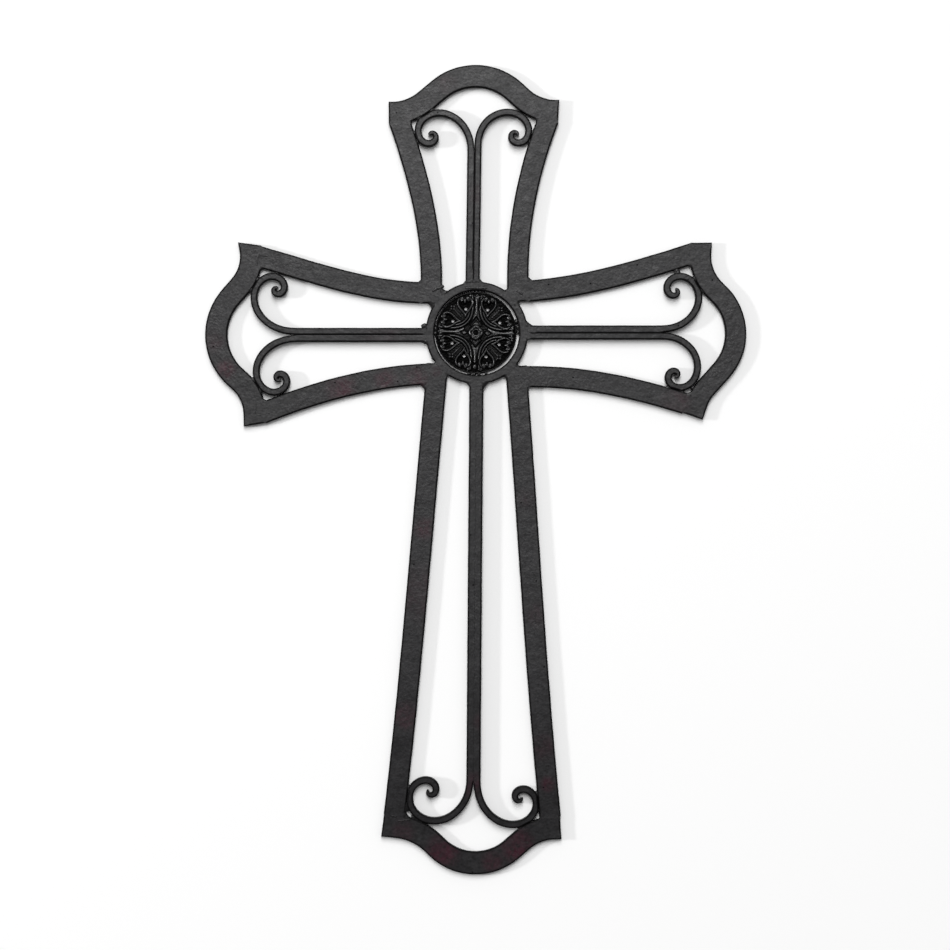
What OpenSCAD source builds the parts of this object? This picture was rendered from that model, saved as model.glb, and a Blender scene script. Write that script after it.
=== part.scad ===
// Wrought iron cross, forged from flat bar, with paired scrolls and a cast rosette at the crossing.
// It stands in the XZ plane: +Z is up, the front faces -Y and the back lies in the plane y = 0.
// The origin is the centre of the hub ring, on the back, where the cross bears on its wall.
// Lists of four hold one value for each arm, in the order top, left, foot, right.
// "First" is the left-hand side of an arm seen from the front with that arm pointing up,
// and "second" is the right-hand side. The sides differ because each bar was bent by hand.

/* [Stock] */
// Width of the flat side bars
bar_w = 19.4; // [18:0.1:20]
// Thickness of all the flat bar
bar_t = 4.8; // [3:0.1:8]
// Side of the square scroll bar
scroll_w = 6.4; // [5:0.1:6.4]
// Side of the scroll bar at its drawn-down tip
tip_w = 2.4; // [2.2:0.1:3.2]

/* [Hub] */
// Outer radius of the hub ring
ring_r = 46.3; // [44:0.5:48]
// Inner radius of the hub ring
ring_bore_r = 38.4; // [37.6:0.1:40]
// Depth of the hub ring, front to back
ring_t = 5.2; // [5:0.1:8]

/* [Caps] */
// Distance from the hub's centre to the top of each crown
reach = [242.5, 245.8, 490, 243.9]; // [240:0.1:500]
// Width of each cap's flat bar
cap_w = [20.5, 20.3, 20.8, 19.2]; // [18:0.1:21]
// Sideways shift of each crown, towards the second side
crown_shift = [-1, -1.6, 1.3, 0.5]; // [-2:0.1:2]
// Radius of each crown's centre line
crown_r = [52, 51.6, 49.8, 50]; // [49:0.1:53]
// First side: how far each crown bends down, in degrees
first_crown_turn = [40.3, 50.6, 40.5, 46.5]; // [39:0.1:51]
// First side: straight run below the crown
first_straight = [15.5, 1, 13.8, 4.2]; // [1:0.1:16]
// First side: radius of the reverse bend
first_flare_r = [46, 41.3, 45.8, 42.2]; // [40:0.1:55]
// First side: how far the bar bends back, in degrees
first_flare_turn = [41, 49.6, 39.5, 50.3]; // [38:0.1:52]
// First side: straight run to the cut end
first_end_run = [3.2, 11.2, 6.1, 10.4]; // [2:0.1:15]
// First side: how much shorter the cut end is on its inner edge
first_slant = [0.5, 3, 1, 1.5]; // [0:0.1:6]
// Second side: how far each crown bends down, in degrees
second_crown_turn = [43, 41.3, 44.9, 41.8]; // [39:0.1:51]
// Second side: straight run below the crown
second_straight = [8, 13.3, 4.2, 20.8]; // [1:0.1:21]
// Second side: radius of the reverse bend
second_flare_r = [45.8, 39.9, 54.2, 42.5]; // [39:0.1:55]
// Second side: how far the bar bends back, in degrees
second_flare_turn = [44.3, 51, 39.9, 22.7]; // [18:0.1:52]
// Second side: straight run to the cut end
second_end_run = [2.4, 8.3, 12.9, 12.3]; // [2:0.1:15]
// Second side: how much shorter the cut end is on its inner edge
second_slant = [1.7, 6.3, 1, 0]; // [0:0.1:7]

/* [Side bars] */
// Distance along the arm where each curve of the side bars ends
bar_reach = [190, 192, 440, 190]; // [188:0.5:442]
// First bar: centre line's distance from the arm's axis beside the hub
first_spread_in = [41, 37.5, 37, 38.1]; // [36:0.1:42]
// First bar: outward slope beside the hub
first_slope_in = [0.006, 0.059, 0.075, 0.078]; // [0:0.001:0.1]
// First bar: centre line's distance from the arm's axis at the cap
first_spread_out = [69.5, 71.9, 66.6, 70.1]; // [63:0.1:75]
// First bar: outward slope at the cap
first_slope_out = [0.35, 0.4, 0.1, 0.32]; // [0.08:0.01:0.4]
// Second bar: centre line's distance from the arm's axis beside the hub
second_spread_in = [37.1, 36.4, 37.4, 39.6]; // [35:0.1:42]
// Second bar: outward slope beside the hub
second_slope_in = [0, 0.013, 0.095, 0]; // [0:0.001:0.1]
// Second bar: centre line's distance from the arm's axis at the cap
second_spread_out = [63.5, 67.6, 75, 64.4]; // [63:0.1:75]
// Second bar: outward slope at the cap
second_slope_out = [0.38, 0.29, 0.12, 0.32]; // [0.08:0.01:0.4]

/* [Scrolls] */
// Line where each pair of scroll bars meets: its offset from the arm's axis at the hub
pair_offset = [-4.3, -1.9, 0, -0.3]; // [-4.5:0.1:2]
// Sideways lean of each pair, per unit of length
pair_lean = [0.0133, 0, 0.0075, 0]; // [0:0.0005:0.02]
// First scroll: distance along the arm where it starts to bend
first_bend_at = [165.4, 163.2, 405.6, 167.2]; // [160:0.1:410]
// First scroll: radius where it leaves its pair
first_entry_r = [40, 46.5, 49, 41.4]; // [30:0.1:50]
// First scroll: radius of the wide loop
first_loop_r = [22.1, 20.9, 23.5, 21.3]; // [20:0.1:26]
// First scroll: radius where the loop tightens into the curl
first_curl_r = [10, 10.3, 12.4, 11]; // [8:0.1:16]
// First scroll: its whole bend, in degrees
first_turn = [500, 490, 490, 490]; // [440:5:540]
// First scroll: further bend of the small hook at its tip, in degrees
first_hook = [30, 100, 70, 55]; // [20:5:100]
// Second scroll: distance along the arm where it starts to bend
second_bend_at = [171.3, 164.7, 404.5, 168.6]; // [160:0.1:410]
// Second scroll: radius where it leaves its pair
second_entry_r = [32, 46.5, 45, 36.6]; // [30:0.1:50]
// Second scroll: radius of the wide loop
second_loop_r = [22.5, 21.9, 24.4, 22]; // [20:0.1:26]
// Second scroll: radius where the loop tightens into the curl
second_curl_r = [9.7, 9.8, 15.4, 9.3]; // [8:0.1:16]
// Second scroll: its whole bend, in degrees
second_turn = [500, 500, 530, 485]; // [440:5:540]
// Second scroll: further bend of the small hook at its tip, in degrees
second_hook = [40, 75, 60, 75]; // [20:5:100]

/* [Rosette] */
// Radius of the cast rosette
rosette_r = 36.9; // [35:0.1:37]
// Sideways offset of the rosette in the ring, from uneven tack welds
rosette_x = -0.8; // [-0.8:0.1:0.4]
// Upward offset of the rosette in the ring
rosette_z = 0.3; // [-0.4:0.1:0.4]
// Turn of the rosette in the ring, in degrees anticlockwise
rosette_turn = -2; // [-4:0.5:4]
// Thickness of the rosette's base disc
disc_t = 3; // [2:0.1:4]
// Height of the four raised panels above the back
panel_h = 4.6; // [4.2:0.1:5]
// Height of the ridges along the panels' edges
ridge_h = 6.4; // [5.6:0.1:7.5]
// Height of the centre boss
boss_h = 7.6; // [6:0.1:9]
// Diameter of the pierced eyes
eye_d = 2.7; // [2:0.1:3.5]

/* [Hidden] */
TOP = 0;
LEFT = 1;
FOOT = 2;
RIGHT = 3;
FIRST = -1;
SECOND = 1;
IRON = [0.24, 0.235, 0.245];
CASTING = [0.13, 0.13, 0.135];
$fn = 96;
arc_step = 5;          // degrees of bend between points of a cap
scroll_step = 8;       // degrees of bend between points of a scroll
bar_pieces = 16;       // lengths that a side bar's curve is divided into
curve_from = 50;       // where a side bar's curve starts, from the hub's centre
bar_overrun = 10;      // how far a side bar's blank runs into the cap before it is trimmed
loop_turn = 100;       // bend at which a scroll has its loop radius
curl_turn = 230;       // bend at which a scroll has its curl radius
hook_r = 2.2;          // centre-line radius of the hook at a scroll's tip
taper_turn = 220;      // length of the drawn-down tip, in degrees of bend
panel_apex = 10;       // from the rosette's centre to the point of a panel
panel_spread = 27;     // width of a panel's parabola: its half-width squared over its depth
ridge_w = 2.2;
heart_at = 24.5;       // from the rosette's centre to the middle of a heart
heart_swing = 20;      // degrees between a heart and the middle of its panel
heart_len = 15;
heart_w = 11;
pocket_floor = 1.8;    // what is left under a heart-shaped pocket
boss_r = 7;
cup_r = 4.4;
cup_depth = 2.2;
petal_len = 13;
petal_w = 7.5;
petal_h = 5.6;
rim_w = 1.4;
rim_h = 3.8;
tack_w = 9;            // length of a tack weld around the rosette
tack_t = 4;
tack_angles = [8, 92, 176, 271];

// A direction in the plane of the cross: 0 runs out along the arm, 90 towards its second side.
function toward(a) = [sin(a), cos(a)];

// The points of a path that starts at p, heading a, and takes each leg [length, bend] in turn.
function walk(p, a, legs, i = 0) =
  i == len(legs) ? [p] :
  let (bend = legs[i][1])
  concat([p], walk(p + legs[i][0] * toward(a + bend / 2), a + bend, legs, i + 1));

// The legs of an arc of radius r that bends through the angle bend.
function arc_legs(r, bend) =
  let (n = ceil(abs(bend) / arc_step))
  [for (i = [1:n]) [2 * r * sin(abs(bend) / n / 2), bend / n]];

function flip(path, side) = [for (p = path) [side * p[0], p[1]]];
function reversed(path) = [for (i = [len(path) - 1:-1:0]) path[i]];

// One edge of a bar: path moved sideways by half of the width that widths gives at each point.
function edge(path, widths, side) =
  let (last = len(path) - 1)
  [for (i = [0:last])
    let (d = path[min(i + 1, last)] - path[max(i - 1, 0)])
    path[i] + side * widths[i] / 2 * [d[1], -d[0]] / norm(d)];

// The closed outline of a bar along path.
function outline(path, widths) =
  concat(edge(path, widths, 1), reversed(edge(path, widths, -1)));

function constant(path, w) = [for (p = path) w];

// Half a cap, from its crown to its cut end.
function half_cap(arm, side, more) =
  let (
    s = side == FIRST,
    crown_turn = s ? first_crown_turn[arm] : second_crown_turn[arm],
    straight = s ? first_straight[arm] : second_straight[arm],
    flare_r = s ? first_flare_r[arm] : second_flare_r[arm],
    flare_turn = s ? first_flare_turn[arm] : second_flare_turn[arm],
    end_run = s ? first_end_run[arm] : second_end_run[arm],
    start = [side * crown_shift[arm], reach[arm] - cap_w[arm] / 2],
    legs = concat(arc_legs(crown_r[arm], crown_turn), [[straight, 0]],
      arc_legs(flare_r, -flare_turn), [[end_run + more, 0]]))
  flip(walk(start, 90, legs), side);

// A whole cap's centre line: both halves start at the crown, so the second leaves that point out.
function cap_path(arm, more) =
  let (second = half_cap(arm, SECOND, more))
  concat(reversed(half_cap(arm, FIRST, more)), [for (i = [1:len(second) - 1]) second[i]]);

// A cubic from value a with slope sa to value b with slope sb, at fraction t of the length len.
function cubic(a, sa, b, sb, length, t) =
  a * (2 * pow(t, 3) - 3 * pow(t, 2) + 1) + sa * length * (pow(t, 3) - 2 * pow(t, 2) + t)
  + b * (3 * pow(t, 2) - 2 * pow(t, 3)) + sb * length * (pow(t, 3) - pow(t, 2));

// A side bar's centre line, with a straight run inwards to the height from.
function bar_path(arm, side, from) =
  let (
    s = side == FIRST,
    a = s ? first_spread_in[arm] : second_spread_in[arm],
    sa = s ? first_slope_in[arm] : second_slope_in[arm],
    b = s ? first_spread_out[arm] : second_spread_out[arm],
    sb = s ? first_slope_out[arm] : second_slope_out[arm],
    length = bar_reach[arm] - curve_from,
    curve = [for (i = [0:bar_pieces]) let (t = i / bar_pieces)
      [cubic(a, sa, b, sb, length, t), curve_from + t * length]])
  flip(concat([[a - sa * (curve_from - from), from]], curve,
    [[b + sb * bar_overrun, bar_reach[arm] + bar_overrun]]), side);

// A scroll's radius after it has bent through the angle bend.
function scroll_r(entry_r, loop_r, curl_r, turn, bend) =
  exp(lookup(bend, [[0, ln(entry_r)], [loop_turn, ln(loop_r)],
    [curl_turn, ln(curl_r)], [turn, ln(hook_r)]]));

function scroll_path(arm, side) =
  let (
    s = side == FIRST,
    bend_at = s ? first_bend_at[arm] : second_bend_at[arm],
    entry_r = s ? first_entry_r[arm] : second_entry_r[arm],
    loop_r = s ? first_loop_r[arm] : second_loop_r[arm],
    curl_r = s ? first_curl_r[arm] : second_curl_r[arm],
    turn = s ? first_turn[arm] : second_turn[arm],
    whole = turn + (s ? first_hook[arm] : second_hook[arm]),
    lean = side * pair_lean[arm],
    n = round(whole / scroll_step),
    bend = whole / n,
    at_hub = [side * pair_offset[arm] + scroll_w / 2, 0],
    legs = concat([[bend_at / cos(atan(lean)), 0]],
      [for (i = [1:n]) [2 * scroll_r(entry_r, loop_r, curl_r, turn, (i - 0.5) * bend) * sin(bend / 2),
        bend]]))
  flip(walk(at_hub, atan(lean), legs), side);

function scroll_widths(path) =
  let (last = len(path) - 1, taper = round(taper_turn / scroll_step))
  [for (i = [0:last]) lookup(i, [[last - taper, scroll_w], [last, tip_w]])];

module in_arm(arm) { rotate([0, 0, 90 * arm]) children(); }
module plate(t) { rotate([90, 0, 0]) linear_extrude(t) children(); }
module hub_disc() { circle(ring_r); }

// An edge with its two ends cut back by the lengths first and second.
function cut_back(e, first, second) =
  let (last = len(e) - 1, a = e[1] - e[0], b = e[last - 1] - e[last])
  [for (i = [0:last])
    i == 0 ? e[0] + min(first, 0.9 * norm(a)) * a / norm(a) :
    i == last ? e[last] + min(second, 0.9 * norm(b)) * b / norm(b) : e[i]];

module cap_outline(arm) {
  path = cap_path(arm, 0);
  widths = constant(path, cap_w[arm]);
  in_arm(arm) polygon(concat(cut_back(edge(path, widths, 1), first_slant[arm], second_slant[arm]),
    reversed(edge(path, widths, -1))));
}

// The cap as if its bar ran on past its ends, which the side bars are trimmed to.
module long_cap_outline(arm) {
  path = cap_path(arm, bar_w);
  in_arm(arm) polygon(outline(path, constant(path, cap_w[arm])));
}

module bar_outline(arm, side, from = 0) {
  path = bar_path(arm, side, from);
  in_arm(arm) polygon(outline(path, constant(path, bar_w)));
}

module scroll_outline(arm, side) {
  path = scroll_path(arm, side);
  in_arm(arm) polygon(outline(path, scroll_widths(path)));
}

module cap(arm) { color(IRON) plate(bar_t) cap_outline(arm); }

// Inner edge of a side bar beside the hub, from the arm's axis.
function inner_edge(arm, side) =
  (side == FIRST ? first_spread_in[arm] : second_spread_in[arm]) - bar_w / 2;

// An upright side bar runs past the level bar beside it, and is coped round the hub ring.
module upright_bar(arm, side, beside, beside_side) {
  color(IRON) plate(bar_t) difference() {
    bar_outline(arm, side, inner_edge(beside, beside_side));
    hub_disc();
    long_cap_outline(arm);
  }
}

// A level side bar butts against the upright bar beside it.
module level_bar(arm, side, beside, beside_side) {
  color(IRON) plate(bar_t) difference() {
    bar_outline(arm, side, inner_edge(beside, beside_side) + bar_w / 2);
    hub_disc();
    long_cap_outline(arm);
    bar_outline(beside, beside_side);
  }
}

// A scroll is seated against the ring, the cap and its side bar where it touches them.
module scroll(arm, side) {
  color(IRON) plate(scroll_w) difference() {
    scroll_outline(arm, side);
    hub_disc();
    cap_outline(arm);
    bar_outline(arm, side);
  }
}

module hub_ring() {
  color(IRON) rotate([90, 0, 0]) difference() {
    cylinder(h = ring_t, r = ring_r);
    translate([0, 0, -1]) cylinder(h = ring_t + 2, r = ring_bore_r);
  }
}

// One panel of the rosette: a parabola that opens outwards along +Y.
function parabola(half, d = 0) =
  [for (x = [-half:half / 8:half]) [x, panel_apex + d + x * x / panel_spread]];

// A heart with its point towards the rosette's centre.
function heart(length, width) =
  [for (a = [0:12:348])
    let (lobe = abs(sin(a)), lift = -cos(a))
    [width / 2 * sin(a) * (0.72 + 0.28 * lift) * 1.12,
     length / 2 * (lift + (lift > 0 ? -0.35 * pow(1 - lobe, 2) : 0))]];

module panel() {
  intersection() {
    circle(rosette_r - rim_w - 1.2);
    polygon(concat(parabola(21), [[21, rosette_r], [-21, rosette_r]]));
  }
}

module panel_ridge() {
  path = parabola(20);
  intersection() {
    circle(rosette_r - rim_w - 0.6);
    polygon(outline(path, constant(path, ridge_w)));
  }
}

module hearts() {
  for (side = [-1, 1]) rotate(side * heart_swing)
    translate([0, heart_at]) polygon(heart(heart_len, heart_w));
}

module petal() { polygon([[0, 5], [petal_w / 2, 8], [0, petal_len], [-petal_w / 2, 8]]); }

module tacks() {
  for (a = tack_angles) rotate(a) translate([ring_bore_r - 2.5, 0]) square([8, tack_w], center = true);
}

module rosette_body() {
  difference() {
    union() {
      cylinder(h = disc_t, r = rosette_r);
      linear_extrude(rim_h) difference() { circle(rosette_r); circle(rosette_r - rim_w); }
      for (q = [45:90:315]) rotate(q) {
        linear_extrude(panel_h) difference() { panel(); hearts(); }
        linear_extrude(ridge_h) difference() { panel_ridge(); hearts(); }
        rotate(45) linear_extrude(petal_h) petal();
      }
      cylinder(h = boss_h, r = boss_r);
    }
    for (q = [45:90:315]) rotate(q) translate([0, 0, pocket_floor]) linear_extrude(ridge_h) hearts();
    for (q = [45:90:315], side = [-1, 1]) rotate(q + side * heart_swing)
      translate([0, heart_at - 1, -1]) cylinder(h = ridge_h + 2, d = eye_d);
    translate([0, 0, boss_h - cup_depth]) cylinder(h = cup_depth + 1, r = cup_r);
    translate([0, 0, boss_h - 2 * cup_depth]) cylinder(h = 2 * cup_depth, d = eye_d);
  }
}

module rosette() {
  color(CASTING) rotate([90, 0, 0]) {
    translate([rosette_x, rosette_z]) rotate(rosette_turn) rosette_body();
    linear_extrude(tack_t) difference() {
      intersection() { tacks(); circle(ring_bore_r); }
      translate([rosette_x, rosette_z]) circle(rosette_r - 0.5);
    }
  }
}

cap(TOP);  // top_cap
cap(LEFT);  // left_cap
cap(FOOT);  // foot_cap
cap(RIGHT);  // right_cap
upright_bar(TOP, FIRST, LEFT, SECOND);  // top_bar_left
upright_bar(TOP, SECOND, RIGHT, FIRST);  // top_bar_right
upright_bar(FOOT, SECOND, LEFT, FIRST);  // foot_bar_left
upright_bar(FOOT, FIRST, RIGHT, SECOND);  // foot_bar_right
level_bar(LEFT, SECOND, TOP, FIRST);  // left_bar_upper
level_bar(LEFT, FIRST, FOOT, SECOND);  // left_bar_lower
level_bar(RIGHT, FIRST, TOP, SECOND);  // right_bar_upper
level_bar(RIGHT, SECOND, FOOT, FIRST);  // right_bar_lower
hub_ring();
scroll(TOP, FIRST);  // top_scroll_left
scroll(TOP, SECOND);  // top_scroll_right
scroll(LEFT, SECOND);  // left_scroll_upper
scroll(LEFT, FIRST);  // left_scroll_lower
scroll(FOOT, SECOND);  // foot_scroll_left
scroll(FOOT, FIRST);  // foot_scroll_right
scroll(RIGHT, FIRST);  // right_scroll_upper
scroll(RIGHT, SECOND);  // right_scroll_lower
rosette();
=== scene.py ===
# %% [markdown]
# # A wrought iron cross
# This lesson dresses the plain solids of a welded iron cross so that they look forged, painted and cast.
# Each solid already has its true place and size, so everything below is read off those solids: no
# position is guessed. All lengths are metres, +Z is up, and the front of the cross faces -Y.

# %% Load the frame
import math

import bmesh
import bpy
import numpy as np
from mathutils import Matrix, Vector, noise
from mathutils.geometry import delaunay_2d_cdt


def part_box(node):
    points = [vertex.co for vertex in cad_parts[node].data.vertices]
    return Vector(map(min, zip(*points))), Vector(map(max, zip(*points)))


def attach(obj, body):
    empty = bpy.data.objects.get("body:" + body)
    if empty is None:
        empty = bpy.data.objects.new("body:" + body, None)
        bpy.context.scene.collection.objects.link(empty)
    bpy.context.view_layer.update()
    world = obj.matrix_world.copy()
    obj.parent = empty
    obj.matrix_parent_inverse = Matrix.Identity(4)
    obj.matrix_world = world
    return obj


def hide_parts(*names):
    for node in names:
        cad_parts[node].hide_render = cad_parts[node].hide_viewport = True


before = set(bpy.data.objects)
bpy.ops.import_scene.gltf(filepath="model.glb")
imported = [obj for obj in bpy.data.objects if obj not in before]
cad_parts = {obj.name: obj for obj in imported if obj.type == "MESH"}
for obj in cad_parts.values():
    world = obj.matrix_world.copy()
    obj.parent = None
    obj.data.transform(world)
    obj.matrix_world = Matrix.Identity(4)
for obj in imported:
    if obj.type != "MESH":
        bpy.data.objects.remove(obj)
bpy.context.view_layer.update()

MM = 0.001
noise.seed_set(11)

# %% [markdown]
# ## The outline of a bar
# A smith's bar is a flat shape with some thickness. Its outline could be drawn again by hand, but the
# solid has it already: the edges that only one triangle of its front face uses are the outline. Chained
# nose to tail they give closed loops, and they all run the same way round the metal, so "into the metal"
# is always on the same hand.

# %% Read the outline of a solid's front
ROOT = "root"
COPLANAR = 1e-6


def front_loops(name):
    """The closed loops of points (x, z) round the front face of a solid, with the metal on the left."""
    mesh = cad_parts[name].data
    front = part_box(name)[0].y
    points, directed = {}, set()
    for face in mesh.polygons:
        corners = [mesh.vertices[i].co for i in face.vertices]
        if max(abs(c.y - front) for c in corners) < COPLANAR:
            keys = [(round(c.x, 6), round(c.z, 6)) for c in corners]
            points.update({key: (c.x, c.z) for key, c in zip(keys, corners)})
            directed.update(zip(keys, keys[1:] + keys[:1]))
    following = {a: b for a, b in directed if (b, a) not in directed}
    loops = []
    while following:
        start = min(following)
        loop, key = [], start
        while key in following:
            loop.append(points[key])
            key = following.pop(key)
        loops.append(np.array(loop))
    return loops


def signed_area(loop):
    x, z = loop[:, 0], loop[:, 1]
    return 0.5 * float(np.sum(x * np.roll(z, -1) - np.roll(x, -1) * z))


FLAT_BARS = [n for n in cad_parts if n.endswith("_cap") or "_bar_" in n]
SCROLLS = [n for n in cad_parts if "_scroll_" in n]
OUTLINES = {n: front_loops(n) for n in FLAT_BARS + SCROLLS + ["hub_ring"]}
for n, loops in OUTLINES.items():
    print(n, [len(loop) for loop in loops], [round(signed_area(loop) / MM ** 2) for loop in loops])

# %% [markdown]
# ## Distances
# Two questions come back all the time: how far is this point from that outline, and is it inside? Both
# are answered for thousands of points at once with arrays.

# %% Distance to an outline, and inside or outside


def distance_to(loop, at):
    """Distance from each point of `at` to a closed loop."""
    best = np.full(len(at), 1e9)
    for a, b in zip(loop, np.roll(loop, -1, axis=0)):
        ab = b - a
        t = np.clip(((at - a) @ ab) / max(float(ab @ ab), 1e-18), 0, 1)
        best = np.minimum(best, np.linalg.norm(at - a - t[:, None] * ab, axis=1))
    return best


def is_inside(loop, at):
    inside = np.zeros(len(at), bool)
    for (xa, za), (xb, zb) in zip(loop, np.roll(loop, -1, axis=0)):
        if za != zb:
            crosses = ((za > at[:, 1]) != (zb > at[:, 1])) & (
                at[:, 0] < (xb - xa) * (at[:, 1] - za) / (zb - za) + xa)
            inside ^= crosses
    return inside


# %% [markdown]
# ## Hand-made edges
# A machined bar has dead straight edges, a forged one wavers by a tenth of a millimetre or two, and its
# cut corners are knocked round. The outline is divided finely, eased where two chords meet, rounded at
# its outer corners and then made to waver. Where two bars are welded edge to edge and ground flush, the
# edge has to stay exactly where it is, so those stretches are found first and left alone.

# %% Divide, ease and waver an outline
STEP = 1.5 * MM
CORNER = math.radians(24)
WELDED = 0.08 * MM
FLAT_MARGIN = 0.75 * MM
STUB, SLIVER = 0.1 * MM, 0.05 * MM
ARM_SHARE, CORE_SHARE, BLUNTNESS = 0.4, 0.45, 0.28
LONG_WAVER, SHORT_WAVER = 17 * MM, 5 * MM
ROUND_WAY = 1 if signed_area(OUTLINES["top_cap"][0]) > 0 else -1


def unit(v):
    return v / np.maximum(np.linalg.norm(v, axis=-1, keepdims=True), 1e-12)


def turns(loop):
    """The signed bend at each point: positive at an outer corner of the metal."""
    a, b = unit(loop - np.roll(loop, 1, axis=0)), unit(np.roll(loop, -1, axis=0) - loop)
    bend = np.arctan2(a[:, 0] * b[:, 1] - a[:, 1] * b[:, 0], np.sum(a * b, axis=1))
    return bend * ROUND_WAY


def waver(p, size, grain):
    """A smooth push, in both directions of the plane, that depends only on the place."""
    a = noise.noise_vector(Vector((p[0] / grain, 3.7, p[1] / grain)))
    return np.array((a.x, a.z)) * size


def inward(loop):
    """How to step from each point into the metal, longer at corners so that edges move evenly."""
    back, ahead = unit(loop - np.roll(loop, 1, axis=0)), unit(np.roll(loop, -1, axis=0) - loop)
    side = ROUND_WAY * np.array((-1.0, 1.0))
    both = unit((back + ahead)[:, ::-1] * side)
    cosine = np.sum(both * (ahead[:, ::-1] * side), axis=1)
    return both / np.maximum(cosine, 0.6)[:, None]


def near_others(points, others, within):
    close = np.zeros(len(points), bool)
    for other in others:
        close |= distance_to(other, points) < within
    return close


def crossing(loop):
    """Which points of a closed loop sit on a stretch that crosses another stretch."""
    a, b = loop, np.roll(loop, -1, axis=0)

    def side(p, q, r):
        return ((q[..., 0] - p[..., 0]) * (r[..., 1] - p[..., 1])
                - (q[..., 1] - p[..., 1]) * (r[..., 0] - p[..., 0]))

    a1, b1, a2, b2 = a[:, None], b[:, None], a[None], b[None]
    cut = (side(a1, b1, a2) * side(a1, b1, b2) <= 0) & (side(a2, b2, a1) * side(a2, b2, b1) <= 0)
    steps = np.abs(np.arange(len(loop))[:, None] - np.arange(len(loop)))
    cut &= np.minimum(steps, len(loop) - steps) > 1
    hit = cut.any(axis=1)
    return hit | np.roll(hit, 1)


def knock_round(p, back, on, runs, bend, way_in, depth, rounding):
    """Three points round a knocked corner, the points they are drawn in to, and how far on it reaches."""
    half = (math.pi - bend) / 2
    local = min(depth, (CORE_SHARE * min(runs) - STUB) * math.tan(half))
    along = local / math.tan(half) + STUB
    arms = back * min(rounding, ARM_SHARE * runs[0]), on * min(rounding, ARM_SHARE * runs[1])
    walls = np.array((back[1], -back[0])) * ROUND_WAY, np.array((-on[1], on[0])) * ROUND_WAY
    corner = [p + arms[0], p + BLUNTNESS * (arms[0] + arms[1]), p + arms[1]]
    drawn = [p + back * along + walls[0] * local, p + unit(way_in) * local / math.sin(half),
             p + on * along + walls[1] * local]
    return corner, drawn, np.linalg.norm(arms[1])


def divide(loop, depth, rounding, knocked):
    """The outline in short steps, what its knocked corners are drawn in to, and which points stay put."""
    bends, ways_in = turns(loop), inward(loop)
    rim, core, fixed = [], [], []
    for i, p in enumerate(loop):
        following = (i + 1) % len(loop)
        runs = np.linalg.norm(loop[i - 1] - p), np.linalg.norm(loop[following] - p)
        back, on = unit(loop[i - 1] - p), unit(loop[following] - p)
        corner, drawn, leave = [p], [None], 0.0
        if knocked[i]:
            corner, drawn, leave = knock_round(p, back, on, runs, bends[i], ways_in[i], depth, rounding)
        stop = min(rounding, ARM_SHARE * runs[1]) if knocked[following] else 0.0
        length = runs[1] - leave - stop
        pieces = int(math.ceil(length / STEP))
        rim += corner + [p + on * (leave + length * k / pieces) for k in range(1, pieces)]
        core += drawn + [None] * (pieces - 1)
        fixed += [abs(bends[i]) > CORNER] * len(corner) + [False] * (pieces - 1)
    return np.array(rim), core, np.array(fixed)


def eased(values, keep, times):
    """Values round a loop, each drawn towards its two neighbours, except the ones to keep."""
    for _ in range(times):
        mixed = 0.5 * values + 0.25 * (np.roll(values, 1, axis=0) + np.roll(values, -1, axis=0))
        values = np.where(keep, values, mixed)
    return values


def untangle(rim, inner):
    """The inner outline, drawn back towards the outer one wherever it crosses itself."""
    for _ in range(20):
        tangled = crossing(inner)
        if not tangled.any():
            break
        tangled |= np.roll(tangled, 1) | np.roll(tangled, -1)
        inner = np.where(tangled[:, None], rim + 0.6 * (inner - rim), inner)
    return inner


def hand_made(loop, arris, rounding, wander, welded_to, seam):
    """The finished outline, the same outline drawn in past the arris, and how free each point is."""
    depth = arris + FLAT_MARGIN
    knocked = (turns(loop) > CORNER) & ~near_others(loop, welded_to, 3 * WELDED)
    rim, core, fixed = divide(loop, depth, rounding, knocked)
    free = np.where(near_others(rim, welded_to, WELDED), 0.0, 1.0)
    if seam:
        line, share = seam
        free = np.where(distance_to(line, rim) < WELDED, np.minimum(free, share), free)
    rim = eased(rim, (fixed | (free == 0))[:, None], 3)
    free = eased(free, free == 0, 2)
    drawn_in = rim + inward(rim) * (SLIVER + (depth - SLIVER) * free)[:, None]
    push = np.array([waver(p, wander, LONG_WAVER) + waver(p, 0.4 * wander, SHORT_WAVER) for p in rim])
    push *= free[:, None]
    inner = np.array([d if c is None else c for c, d in zip(core, drawn_in)]) + push
    return rim + push, untangle(rim + push, inner), free


# %% [markdown]
# ## From an outline to a bar
# The bar's wall is the outline repeated at several depths, and each copy near the front is drawn in a
# little further, which rounds the long edge that a smith calls the arris. The flat front is then filled
# with small triangles by a Delaunay triangulation, so that it can be a little uneven as a hammered face
# is. A modifier such as Bevel could round the edge, but it can't leave the welded stretches alone.

# %% Fill an outline with even triangles


def filling(loops, spacing):
    """Points inside the loops on a staggered grid, clear of the edge."""
    everything = np.concatenate(loops)
    lo, hi = everything.min(0), everything.max(0)
    rows = np.arange(lo[1], hi[1], spacing * 0.87)
    grid = []
    for k, z in enumerate(rows):
        across = np.arange(lo[0] + (k % 2) * spacing / 2, hi[0], spacing)
        grid.append(np.stack([across, np.full(len(across), z)], 1))
    grid = np.concatenate(grid)
    inside = is_inside(loops[0], grid)
    for hole in loops[1:]:
        inside &= ~is_inside(hole, grid)
    grid = grid[inside]
    for loop in loops:
        grid = grid[distance_to(loop, grid) > 0.55 * spacing]
    return grid


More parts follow.
